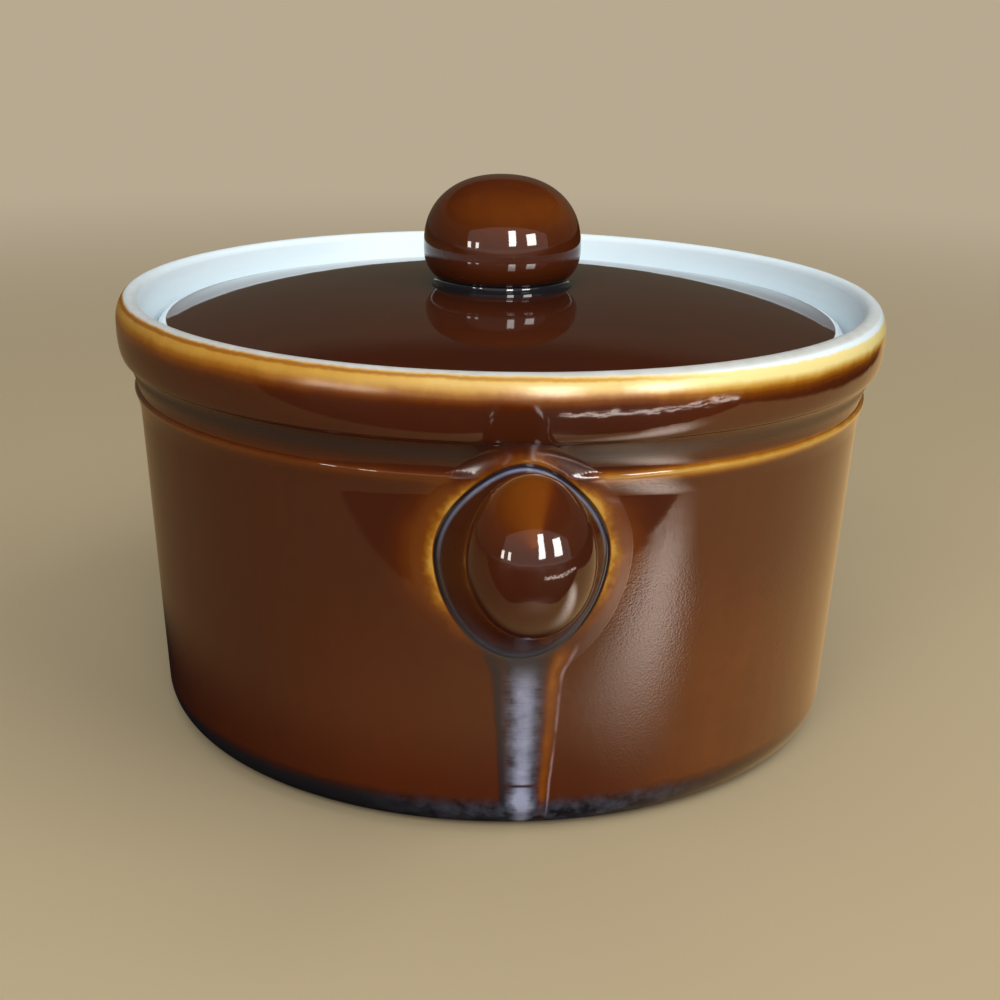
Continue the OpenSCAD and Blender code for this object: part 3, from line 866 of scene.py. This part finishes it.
def stray(dish, handle, spot):
    """How far the wall stands out from true at a point: a thrown wall's wobble, and the glaze run."""
    held = ease((spot.z - dish.base_round / 2) / (8 * MM)) * ease((dish.ridge_z - spot.z) / (10 * MM))
    out = dish.wobble * noise.noise(spot * WOBBLE_SCALE)
    if spot.y < 0:
        inside = dish.run_w / 2 * run_share(spot.z) - abs(spot.x - dish.run_x)
        below = handle.root_low_z(dish) + 3 * MM - spot.z
        out += dish.run_t * ease(inside / (2.4 * MM)) * ease(below / (8 * MM))
    return out * held


def relieve_wall(bm, dish, handle):
    """Lets the wall's points stray from true."""
    inner_r = dish.base_r - dish.wall_t / 2
    for v in bm.verts:
        radius = math.hypot(v.co.x, v.co.y)
        if radius > inner_r:
            grow = 1 + stray(dish, handle, v.co) / radius
            v.co.x *= grow
            v.co.y *= grow


class CASSEROLE_OT_body(bpy.types.Operator):
    """Makes the dish's thrown body, with its foot, wall, ridge, cove and rim band"""

    bl_idname = "casserole.body"
    bl_label = "Body"

    def execute(self, context):
        scene = context.scene
        dish, lid = scene.dish_sizes, scene.lid_sizes
        bm = spun(dish_outside(dish) + dish_inside(dish, lid, dish.white_t)[::-1])
        relieve_wall(bm, dish, scene.handle_sizes)
        add_piece("dish_body", bm, "dish", "vessel", dish_glaze(scene))
        return {"FINISHED"}


class CASSEROLE_OT_lining(bpy.types.Operator):
    """Makes the white glaze inside the dish, over the ledge and up onto the crown"""

    bl_idname = "casserole.lining"
    bl_label = "White lining"

    def execute(self, context):
        scene = context.scene
        dish, lid = scene.dish_sizes, scene.lid_sizes
        bm = spun(dish_inside(dish, lid, 0) + dish_inside(dish, lid, dish.white_t)[::-1])
        add_piece("dish_lining", bm, "dish", "white_lining", lining_glaze(scene))
        return {"FINISHED"}


def bead_height(handle, past):
    """Height of the slip above the wall at a distance past the root's outline: crease, bead, soft edge."""
    if past < handle.bead_at:
        return handle.crease_h + (handle.bead_h - handle.crease_h) * ease(past / handle.bead_at)
    return handle.bead_h - (handle.bead_h + handle.sink) * ease((past - handle.bead_at) / handle.bead_w)


def bead_share(up):
    """Share of the bead that there is round the root: all on top, a little at the sides and underneath."""
    return 0.25 + 0.75 * ease((up - 0.1) / 0.6)


def handle_rings(handle):
    """Rings from the wall to the tip: distance out from the wall, growth of the outline past the root."""
    widest = handle.bead_at + handle.bead_w
    past = [widest * (1 - i / BEAD_RINGS) for i in range(BEAD_RINGS)]
    bead = [(-handle.root_in, widest)] + [(bead_height(handle, p), p) for p in past]
    span = handle.bulb_at - handle.crease_h
    shank = [(handle.crease_h + span * (i / SHANK_RINGS) ** RING_POWER, 0) for i in range(SHANK_RINGS + 1)]
    turns = [math.pi / 2 * i / TIP_RINGS for i in range(1, TIP_RINGS)]
    tip = [(handle.bulb_at + handle.tip_len * math.sin(t), 0) for t in turns]
    return bead + shank + tip


def shank_depth(handle, out, up, right):
    """Depth of the glaze on the handle: pooled by the crease, thin on the top and left of the grip."""
    pooled = ease(1 - (out - handle.crease_h) / (2.4 * MM))
    neck = math.exp(-((out - handle.neck_at) / (7 * MM)) ** 2)
    grip = ease((out - handle.neck_at) / handle.neck_to_bulb)
    thin = max(0, up) ** 1.3 * (0.23 - 0.18 * ease((right - 0.15) / 0.4))
    return SHANK_DEPTH + 0.25 * pooled + 0.06 * neck - grip * thin


def shank_sheen(handle, out, up):
    """Painted sheen on the shank: a painted highlight line just out from the crease, strongest on top, and a
    painted reflected haze below.
    """
    line = math.exp(-((out - handle.crease_h - 0.55 * MM) / (0.45 * MM)) ** 2)
    haze = ease(1 - out / (6 * MM)) * max(0, -up - 0.4)
    return line * (0.12 + 0.75 * max(0, up) ** 0.7) + 0.3 * haze


class CASSEROLE_OT_handle(bpy.types.Operator):
    """Makes the stick handle, with the bead of slip round its root"""

    bl_idname = "casserole.handle"
    bl_label = "Handle"

    def execute(self, context):
        scene = context.scene
        dish, handle = scene.dish_sizes, scene.handle_sizes
        outline = dish_outside(dish)
        bm = bmesh.new()
        layers = bm.verts.layers.float
        depth_of, pad_of, sheen_of = (layers.new(name) for name in (GLAZE_DEPTH, GLAZE_PAD, CREASE_SHEEN))
        turn_of = layers.new("turn")
        ring = bmesh.ops.create_circle(bm, cap_ends=False, radius=1, segments=HANDLE_SIDES)["verts"]
        for v in ring:
            v[turn_of] = math.atan2(v.co.y, v.co.x)
        edges = bm.edges[:]
        for i, (out, past) in enumerate(handle_rings(handle)):
            if i:
                made = bmesh.ops.extrude_edge_only(bm, edges=edges)["geom"]
                ring = [item for item in made if isinstance(item, bmesh.types.BMVert)]
                edges = [item for item in made if isinstance(item, bmesh.types.BMEdge) and item.is_boundary]
            for v in ring:
                up = math.sin(v[turn_of])
                lift = out * bead_share(up) if past > 0 and out > 0 else out
                self.place(v, dish, handle, outline, v[turn_of], lift, past)
                v[depth_of] = 1 if past > 0 else shank_depth(handle, out, up, math.cos(v[turn_of]))
                v[pad_of] = ease((past - 0.4 * MM) / (0.6 * MM))
                v[sheen_of] = 0 if past > 0 else shank_sheen(handle, out, up)
        bmesh.ops.edgeloop_fill(bm, edges=[e for e in bm.edges if e.is_boundary])
        bmesh.ops.recalc_face_normals(bm, faces=bm.faces)
        add_piece("stick_handle", bm, "dish", "handle", handle_glaze(scene))
        return {"FINISHED"}

    def place(self, v, dish, handle, outline, turn, out, past):
        """Puts one point of a ring on the handle, which follows the wall's curve near its root."""
        far = max(out, handle.crease_h) if past == 0 else handle.crease_h
        half_w = handle.half(far, handle.root_w, handle.neck_w, handle.bulb_w) + past
        tall = handle.grip_ratio
        half_h = handle.half(far, handle.root_h, handle.neck_w * tall, handle.bulb_w * tall) + past
        along = ease(out / handle.bulb_at)
        up = math.sin(turn)
        egg = handle.root_egg + (handle.bulb_egg - handle.root_egg) * along
        peak = handle.root_peak * (1 - along) * max(0, up) ** PEAK_POWER
        x = half_w * math.cos(turn) * (1 - egg * up) * (1 - peak) + handle.root_aside * (1 - along)
        tilt = handle.tip_tilt * along
        root_z = handle.axis_z(dish)
        z = root_z + max(0, out) * math.tan(handle.rise) + half_h * up * math.cos(tilt)
        spread = ease(past / (handle.bead_at + handle.bead_w))
        radius = dish.pad_r(z)
        if past > 0:
            radius += (radius_at(outline, z) - radius) * spread
        bend = (radius - math.sqrt(radius * radius - x * x)) * (1 - along)
        back = half_h * up * math.sin(tilt)
        y = back - (radius * (1 - along) + dish.pad_r(root_z) * along + out - bend)
        grow = 1 + spread * stray(dish, handle, Vector((x, y, z))) / math.hypot(x, y)
        v.co = (x * grow, y * grow, z)


class CASSEROLE_OT_lid(bpy.types.Operator):
    """Makes the lid's domed disc and the white glaze under it and round its edge"""

    bl_idname = "casserole.lid"
    bl_label = "Lid"

    def execute(self, context):
        scene = context.scene
        lid = scene.lid_sizes
        disc = spun(lid_under(lid, lid.white_t) + lid_top(lid)[::-1])
        add_piece("lid_disc", disc, "lid", "lid_plate", lid_glaze(scene))
        lining = spun(lid_under(lid, 0) + lid_under(lid, lid.white_t)[::-1])
        add_piece("lid_lining", lining, "lid", "lid_white_glaze", lid_lining_glaze(scene))
        return {"FINISHED"}


class CASSEROLE_OT_knob(bpy.types.Operator):
    """Makes the lid's ball knob on its short flared foot"""

    bl_idname = "casserole.knob"
    bl_label = "Knob"

    def execute(self, context):
        scene = context.scene
        bm = spun(knob_outline(scene.lid_sizes), SPIN_STEPS // 2)
        add_piece("ball_knob", bm, "lid", "lid_knob", knob_glaze(scene))
        return {"FINISHED"}


# Stage

def add_lamp(name, place, wide, high, power, tint, aim=DISH_MIDDLE, in_gloss=True, on_matt=True):
    """A soft box, hidden from the camera, that shows in the gloss or not and lights the colours or not."""
    lamp = bpy.data.lights.new(name, "AREA")
    lamp.shape = "RECTANGLE"
    lamp.size = wide
    lamp.size_y = high
    lamp.energy = power
    lamp.color = tint
    holder = bpy.data.objects.new(name, lamp)
    holder.location = place
    holder.rotation_euler = (Vector(aim) - Vector(place)).to_track_quat("-Z", "Y").to_euler()
    holder.visible_camera = False
    holder.visible_glossy = in_gloss
    holder.visible_diffuse = on_matt
    bpy.context.scene.collection.objects.link(holder)


def add_camera(stage):
    """The camera, turned and placed as its settings say."""
    camera = bpy.data.objects.new("camera", bpy.data.cameras.new("camera"))
    camera.data.lens = stage.lens_mm
    camera.data.sensor_width = SENSOR_MM
    camera.data.clip_start = CLIP_START
    round_axis = Matrix.Rotation(-stage.turn, 4, "Z")
    place = Matrix.Translation((stage.aside, -stage.distance, stage.camera_z))
    look = Matrix.Rotation(-stage.yaw, 4, "Z") @ Matrix.Rotation(math.pi / 2 - stage.pitch, 4, "X")
    camera.matrix_world = round_axis @ place @ look @ Matrix.Rotation(stage.roll, 4, "Z")
    bpy.context.scene.collection.objects.link(camera)
    bpy.context.scene.camera = camera


def along_and_aside(paint, start, way):
    """Distances along a line on the floor, from its start, and aside from it."""
    right, front = paint.x - start.x, paint.y - start.y
    return right * way.x + front * way.y, front * way.x - right * way.y


def streak(paint):
    """A broken streak of light low in front, to the right, that shows in the gloss of the rim band."""
    along, aside = along_and_aside(paint, STREAK_FROM, (STREAK_TO - STREAK_FROM).normalized())
    aside = aside + paint.cloud(45 * MM, 3.0) * 40 * MM
    ends = paint.step(along, -10 * MM, 20 * MM) * paint.step(along, 350 * MM, 320 * MM)
    broken = paint.step(paint.cloud(26 * MM, 3.0), -0.15, 0.25)
    return paint.band(aside, 0, 46 * MM) * ends * broken * 3


def floor_paint(stage):
    """The floor: plain to the camera, and in the gloss a shelf that ends a short way off, with glare."""
    paint = Surface("floor")
    x, y = paint.x, paint.y
    camera_ray, glossy_ray = paint.ray_kinds()
    lit = paint.step(x, -0.12, 0.07)
    shelf = paint.mix(lit, [c * SHELF_DIM for c in stage.shelf], [c * SHELF_LIT for c in stage.shelf])
    bow = paint.band(x, 0, BOW_HALF) * BOW_OUT
    front_end = paint.step(y + bow, -stage.shelf_edge, -stage.shelf_edge - 4 * MM)
    side_end = paint.step(x, stage.shelf_side, stage.shelf_side + 40 * MM)
    ends = paint.maths("MAXIMUM", front_end, side_end)
    shaded = paint.step(paint.radius, 0.13, 0.09) * paint.step(x, 70 * MM, 10 * MM)
    shelf = paint.mix(paint.maths("MAXIMUM", ends, shaded), shelf, stage.gloom)
    tint = paint.mix(glossy_ray, stage.floor, shelf)
    along, aside = along_and_aside(paint, Vector((stage.glare_x, -stage.glare_front)), GLARE_WAY)
    strip = paint.band(along, 0, GLARE_LONG) * paint.band(aside, 0, GLARE_WIDE)
    speckle = 0.6 + paint.cloud(2.2 * MM) * 1.4
    glare = strip * (1 - ends) * speckle
    patch = paint.band(x, 15 * MM, 60 * MM) * paint.band(y, -0.195, 0.04) * 0.05
    room = paint.step(y, -0.5, -0.9) * 0.035 + patch
    glow = paint.mix(glossy_ray * (glare + streak(paint) + room), (0, 0, 0), stage.glare)
    near = paint.node(
        "ShaderNodeBsdfPrincipled", {},
        {
            "Base Color": tint, "Roughness": 0.7, "Specular IOR Level": 0.1,
            "Emission Color": glow, "Emission Strength": stage.glare_strength,
        },
    )
    far = paint.node("ShaderNodeEmission", {}, {"Color": (*stage.backdrop, 1)})
    fade = camera_ray * paint.step(paint.radius, 0.30, 1.0)
    return paint.finish(paint.node("ShaderNodeMixShader", {}, {0: fade, 1: near, 2: far}))


def add_floor(stage):
    """A wide plain floor that fades into the background."""
    bm = bmesh.new()
    bmesh.ops.create_grid(bm, x_segments=1, y_segments=1, size=FLOOR_HALF)
    mesh = bpy.data.meshes.new("floor")
    bm.to_mesh(mesh)
    bm.free()
    mesh.materials.append(floor_paint(stage))
    floor = bpy.data.objects.new("floor", mesh)
    bpy.context.scene.collection.objects.link(floor)


def add_world(stage):
    """A plain background, plain light from all round, and in the gloss a low wall with darkness over it."""
    world = bpy.data.worlds.new("studio")
    paint = Paint(world)
    camera_ray, glossy_ray = paint.ray_kinds()
    way = paint.node("ShaderNodeTexCoord", output="Generated")
    rise = paint.node("ShaderNodeSeparateXYZ", {}, {0: way}, "Z")
    room = paint.mix(paint.step(rise, 0.42, 0.52), stage.wall, stage.gloom)
    light = paint.mix(glossy_ray, stage.ambient, room)
    light = paint.mix(camera_ray, light, stage.backdrop)
    sky = paint.node("ShaderNodeBackground", {}, {"Color": light})
    paint.node("ShaderNodeOutputWorld", {}, {"Surface": sky})
    bpy.context.scene.world = world


class CASSEROLE_OT_stage(bpy.types.Operator):
    """Makes the floor, the light and the camera"""

    bl_idname = "casserole.stage"
    bl_label = "Stage"

    def execute(self, context):
        stage = context.scene.stage_settings
        add_camera(stage)
        add_floor(stage)
        add_world(stage)
        add_lamp("front_panel", (0.5, -1.2, 0.41), 4.4, 1.1, 9, (1.0, 0.93, 0.90), aim=(0.5, 0, 0.41))
        for name, settings in GLOSS_LAMPS.items():
            add_lamp(name, *settings, on_matt=False)
        for name, settings in SOFT_LAMPS.items():
            add_lamp(name, *settings, in_gloss=False)
        context.scene.view_settings.view_transform = "Standard"
        return {"FINISHED"}


class CASSEROLE_PT_sidebar(bpy.types.Panel):
    """Lists the dish's pieces and sizes in the sidebar"""

    bl_idname = "CASSEROLE_PT_sidebar"
    bl_label = "Casserole Dish"
    bl_space_type = "VIEW_3D"
    bl_region_type = "UI"
    bl_category = "Casserole"

    def draw(self, context):
        for operator in OPERATORS:
            self.layout.operator(operator.bl_idname)
        for group in GROUPS:
            box = self.layout.box()
            settings = getattr(context.scene, group)
            for name in settings.bl_rna.properties.keys():
                if name not in {"rna_type", "name"}:
                    box.prop(settings, name)


GROUPS = {
    "dish_sizes": DishSizes,
    "lid_sizes": LidSizes,
    "handle_sizes": HandleSizes,
    "glaze_colours": GlazeColours,
    "stage_settings": StageSettings,
}
OPERATORS = (
    CASSEROLE_OT_body,
    CASSEROLE_OT_lining,
    CASSEROLE_OT_handle,
    CASSEROLE_OT_lid,
    CASSEROLE_OT_knob,
    CASSEROLE_OT_stage,
)
CLASSES = (*GROUPS.values(), *OPERATORS, CASSEROLE_PT_sidebar)


def register():
    """Registers the classes and hangs the settings on the scene."""
    for cls in CLASSES:
        bpy.utils.register_class(cls)
    for name, group in GROUPS.items():
        setattr(bpy.types.Scene, name, PointerProperty(type=group))


def unregister():
    """Takes the settings off the scene and unregisters the classes."""
    for name in GROUPS:
        delattr(bpy.types.Scene, name)
    for cls in reversed(CLASSES):
        bpy.utils.unregister_class(cls)


def main():
    """Builds every piece and the stage."""
    register()
    bpy.ops.casserole.body()
    bpy.ops.casserole.lining()
    bpy.ops.casserole.handle()
    bpy.ops.casserole.lid()
    bpy.ops.casserole.knob()
    bpy.ops.casserole.stage()


if __name__ == "__main__":
    main()
